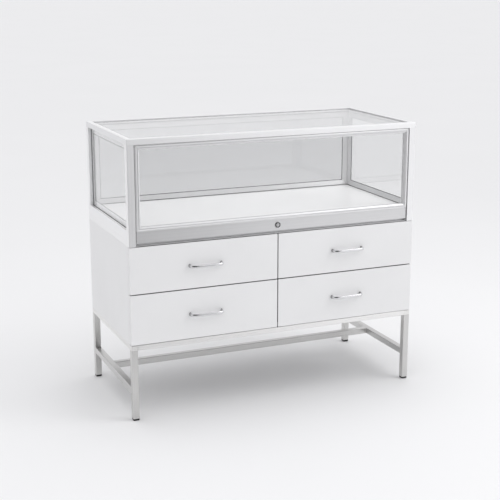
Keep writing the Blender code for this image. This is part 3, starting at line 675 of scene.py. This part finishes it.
def bow_rings(reach):
    """Oval sections along a bow pull, which swell towards its feet."""
    path = bow_path(reach)
    rings = []
    for i, point in enumerate(path):
        along = (path[min(i + 1, HANDLE_STEPS)] - path[max(i - 1, 0)]).normalized()
        if i == 0:
            along = Vector((0, -1, 0))
        if i == HANDLE_STEPS:
            along = Vector((0, 1, 0))
        swell = ((reach + point.y) / reach) ** 2
        depth = HANDLE_BAR_DEPTH + (HANDLE_FOOT_DEPTH - HANDLE_BAR_DEPTH) * swell
        height = HANDLE_BAR_HEIGHT + (HANDLE_FOOT_HEIGHT - HANDLE_BAR_HEIGHT) * swell
        out = Vector((-along.y, along.x, 0)) * depth / 2
        up = Vector((0, 0, height / 2))
        rings.append([point + out * math.cos(t) + up * math.sin(t) for t in full_turn(HANDLE_SIDES)])
    return rings


def smooth_handles():
    """The four bow pulls, drawn along the arch of the solids with many more points."""
    material = chrome("handle_chrome", HANDLE_CHROME, HANDLE_ROUGHNESS, HANDLE_FOOT_SHADE)
    for drawer in DRAWERS:
        node = f"drawer_handle_{drawer}"
        low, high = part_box(node)
        foot = Vector(((low.x + high.x) / 2, high.y, (low.z + high.z) / 2))
        rings = bow_rings(high.y - low.y - HANDLE_BAR_DEPTH / 2)
        bm = loft([[foot + point for point in ring] for ring in rings])
        piece = add_piece(f"pull_{drawer}", bm, material, f"drawer_{drawer}")
        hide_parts(node)


def door_frame():
    """The door's mitred frame with a softly rounded lip that catches the light."""
    low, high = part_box("door_frame")
    back = high.y - low.y
    half = DOOR_LIP / 2
    bead = DOOR_LIP + DOOR_REVEAL
    groove_front = DOOR_SLOPE + DOOR_NOSE
    groove_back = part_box("door_glass")[1].y - low.y + SEAL_GAP
    groove_floor = DOOR_BAR - DOOR_GROOVE
    turns = half_turn(DOOR_LIP_STEPS)
    profile = [(half - half * math.cos(t), DOOR_LIP_ROUND * (1 - math.sin(t))) for t in turns]
    profile += [(DOOR_LIP, DOOR_REVEAL_DEPTH), (bead, DOOR_REVEAL_DEPTH), (bead, DOOR_BEAD_FACE)]
    profile += [(DOOR_BAR, DOOR_SLOPE), (DOOR_BAR, groove_front), (groove_floor, groove_front)]
    profile += [(groove_floor, groove_back), (DOOR_BAR, groove_back), (DOOR_BAR, back), (0, back)]
    rings = []
    for x, z, across, up in rectangle_corners(low, high, 0, 2):
        rings.append([(x + across * inset, low.y + depth, z + up * inset) for inset, depth in profile])
    material = aluminium_frame("door_frame", "ZX")
    piece = add_piece("door_frame_round", loft(rings, closed=True), material, "door")
    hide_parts("door_frame")


def lock_ring():
    """The lock's body with a round bezel and a sunk ring round the plug."""
    low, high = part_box("lock_body")
    plug_low, plug_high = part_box("lock_plug")
    centre = (low + high) / 2
    rim = (high.x - low.x) / 2
    bore = (plug_high.x - plug_low.x) / 2 + LOCK_SLACK
    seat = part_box("door_lock_rail")[0].y - SEAL_GAP
    crown = (rim + bore + LOCK_SUNK_RING) / 2
    half = rim - crown
    turns = half_turn(LOCK_BULGE_STEPS)
    profile = [(bore, low.y + LOCK_SUNK_DEPTH)]
    profile += [(crown - half * math.cos(t), low.y + (seat - low.y) * (1 - math.sin(t))) for t in turns]
    profile += [(LOCK_BARREL / 2, seat), (LOCK_BARREL / 2, high.y), (bore, high.y)]
    rings = []
    for radius, y in profile:
        turns = full_turn(LOCK_SIDES)
        rings.append([(centre.x + radius * math.cos(t), y, centre.z + radius * math.sin(t)) for t in turns])
    material = lock_chrome("lock_ring_chrome", RING_CHROME, RING_ROUGHNESS)
    piece = add_piece("lock_ring", loft(rings, closed=True), material, "door")
    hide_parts("lock_body")


def seal_loop(name, low, high, axis, face, outward, material, size=SEAL):
    """A thin wedge of seal round an opening, in the corner between its edge and the glass."""
    k = "XYZ".index(axis)
    first, second = [i for i in range(3) if i != k]
    shoulder = size * SEAL_SHOULDER
    section = [(0, 0), (size, 0), (shoulder, shoulder), (0, size)]
    rings = []
    for u, v, way_u, way_v in rectangle_corners(low, high, first, second):
        ring = []
        for inset, rise in section:
            point = [0.0, 0.0, 0.0]
            point[first] = u + way_u * (inset + SEAL_GAP)
            point[second] = v + way_v * (inset + SEAL_GAP)
            point[k] = face + outward * (rise + SEAL_GAP)
            ring.append(point)
        rings.append(ring)
    add_piece(name, loft(rings, closed=True), material, "case", smooth=False)


def glazing_seals():
    """Dark seals on both sides of the side panes and the rear pane, and a paler one round the top pane."""
    dark = plastic("seal_dark", *SEAL_DARK)
    pale = plastic("seal_pale", *SEAL_PALE)
    bead = Vector((BEAD_WIDTH, BEAD_WIDTH, BEAD_WIDTH))
    low = Vector((0, FRONT + POST, SILL_TOP))
    high = Vector((0, BACK - POST, RAIL_BOTTOM))
    for side, way, outer in (("left", -1, 0), ("right", 1, 1)):
        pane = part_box(f"glass_{side}")
        inner_face = pane[1 - outer].x
        seal_loop(f"seal_{side}", low, high, "X", pane[outer].x, way, dark)
        seal_loop(f"inner_seal_{side}", low + bead, high - bead, "X", inner_face, -way, dark, INNER_SEAL)
    low = Vector((LEFT + POST, 0, SILL_TOP))
    high = Vector((RIGHT - POST, 0, RAIL_BOTTOM))
    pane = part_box("glass_rear")
    seal_loop("seal_rear", low, high, "Y", pane[1].y, 1, dark)
    seal_loop("inner_seal_rear", low + bead, high - bead, "Y", pane[0].y, -1, dark, INNER_SEAL)
    low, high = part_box("glass_top")
    seal_loop("seal_top", low, high, "Z", high.z, 1, pale)


def deck_shadow_strip():
    """A dark strip on the deck along the feet of the beads at the left, the rear and the right: a painted
    shadow line where the deck meets them.
    """
    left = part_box("glazing_bead_left")[1].x + SEAL_GAP
    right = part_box("glazing_bead_right")[0].x - SEAL_GAP
    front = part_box("glazing_bead_left")[0].y
    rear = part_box("glazing_bead_rear")[0].y - SEAL_GAP
    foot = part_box("display_deck")[1].z + SEAL_GAP
    section = [(0, 0), (DECK_STRIP_WIDTH, 0), (DECK_STRIP_WIDTH, DECK_STRIP_HEIGHT), (0, DECK_STRIP_HEIGHT)]
    corners = [(left, front, 1, 0), (left, rear, 1, 1), (right, rear, -1, 1), (right, front, -1, 0)]
    rings = []
    for x, y, across, ahead in corners:
        rings.append([(x + across * inset, y - ahead * inset, foot + rise) for inset, rise in section])
    material = plastic("deck_strip_dark", *SEAL_DARK)
    add_piece("deck_shadow_strip", loft(rings), material, "case", smooth=False)


def front_reflection(tree, place, ahead):
    """What mirrors show of the studio's front, dim at the left and lit at the right; 1 elsewhere."""
    parts = split(tree, place)
    bearing = math_node(tree, "DIVIDE", parts[0], math_node(tree, "MULTIPLY", parts[1], -1.0))
    graded = remap(tree, bearing, DIM_LEFT, LIT_RIGHT, *DIM_BEARING)
    in_front = remap(tree, parts[1], 1.0, 0.0, *ahead)
    path = add_node(tree, "ShaderNodeLightPath").outputs
    mirrored = math_node(tree, "GREATER_THAN", path["Is Glossy Ray"], path["Is Transmission Ray"])
    return pick(tree, product(tree, mirrored, in_front), 1.0, graded)


def floor_paint():
    """Pale floor paint, faintly clouded and a touch lighter near the camera, with a painted reflection for
    mirrors: dim towards the front left and lit towards the front right.
    """
    material, tree, shader = new_material("floor_paint")
    place = place_in_object(tree)
    clouds = remap(tree, noise(tree, place, FLOOR_CLOUDS), *FLOOR_CLOUD_SHADE)
    shade = remap(tree, split(tree, place)[1], *FLOOR_SHADE, *FLOOR_SHADE_PLACE)
    shade = product(tree, shade, clouds, front_reflection(tree, place, DIM_FLOOR_AHEAD))
    set_inputs(tree, shader, {
        "Base Color": tint(tree, FLOOR_COLOUR, shade),
        "Roughness": FLOOR_ROUGHNESS,
        "Specular IOR Level": FLOOR_SPECULAR,
    })
    return material


def floor():
    """A wide round floor."""
    bm = bmesh.new()
    bmesh.ops.create_circle(bm, cap_ends=True, segments=FLOOR_SEGMENTS, radius=FLOOR_RADIUS)
    mesh = bpy.data.meshes.new("floor")
    bm.to_mesh(mesh)
    bm.free()
    mesh.materials.append(floor_paint())
    ground = bpy.data.objects.new("floor", mesh)
    bpy.context.scene.collection.objects.link(ground)


def sky():
    """Soft light that brightens upwards, and a plain backdrop for the camera, metal and glass."""
    world = bpy.data.worlds.new("studio_sky")
    world.use_nodes = True
    tree = world.node_tree
    way = add_node(tree, "ShaderNodeTexCoord").outputs["Generated"]
    height = remap(tree, split(tree, way)[2], SKY_HORIZON, SKY_ZENITH, 0.0, 1.0)
    light = tree.nodes["Background"]
    set_inputs(tree, light, {"Color": (*SKY_COLOUR, 1.0), "Strength": height})
    dim = front_reflection(tree, way, DIM_SKY_AHEAD)
    seen = add_node(tree, "ShaderNodeBackground", {"Color": (*SKY_SEEN, 1.0), "Strength": dim})
    path = add_node(tree, "ShaderNodeLightPath").outputs
    rays = math_node(tree, "MAXIMUM", path["Is Camera Ray"], path["Is Glossy Ray"])
    rays = math_node(tree, "MAXIMUM", rays, path["Is Transmission Ray"])
    shown = add_node(tree, "ShaderNodeMixShader", {0: rays, 1: light.outputs[0], 2: seen.outputs[0]})
    tree.links.new(shown.outputs[0], tree.nodes["World Output"].inputs["Surface"])
    bpy.context.scene.world = world


def key_lamp():
    """A large soft lamp at the front right, out of the camera's sight."""
    lamp = bpy.data.lights.new("key", "AREA")
    lamp.shape = "RECTANGLE"
    lamp.size, lamp.size_y = KEY_SIZE
    lamp.energy = KEY_POWER
    lamp.spread = math.radians(KEY_SPREAD)
    key = bpy.data.objects.new("key", lamp)
    key.visible_camera = False
    key.location = KEY_PLACE
    key.rotation_euler = (Vector(KEY_TARGET) - Vector(KEY_PLACE)).to_track_quat("-Z", "Y").to_euler()
    bpy.context.scene.collection.objects.link(key)


def camera():
    """The photo's view of the case."""
    view = bpy.data.cameras.new("camera")
    view.lens = CAMERA_LENS
    view.sensor_width = CAMERA_SENSOR
    view.clip_end = 2 * FLOOR_RADIUS
    item = bpy.data.objects.new("camera", view)
    item.location = CAMERA_PLACE
    item.rotation_euler = (math.radians(CAMERA_TILT), 0, math.radians(CAMERA_TURN))
    bpy.context.scene.collection.objects.link(item)
    bpy.context.scene.camera = item


bpy.context.scene.view_settings.view_transform = "Standard"
camera()
floor()
sky()
key_lamp()
finish_metal()
finish_boards()
finish_glass_and_plastic()
lock_ring()
smooth_handles()
door_frame()
glazing_seals()
deck_shadow_strip()
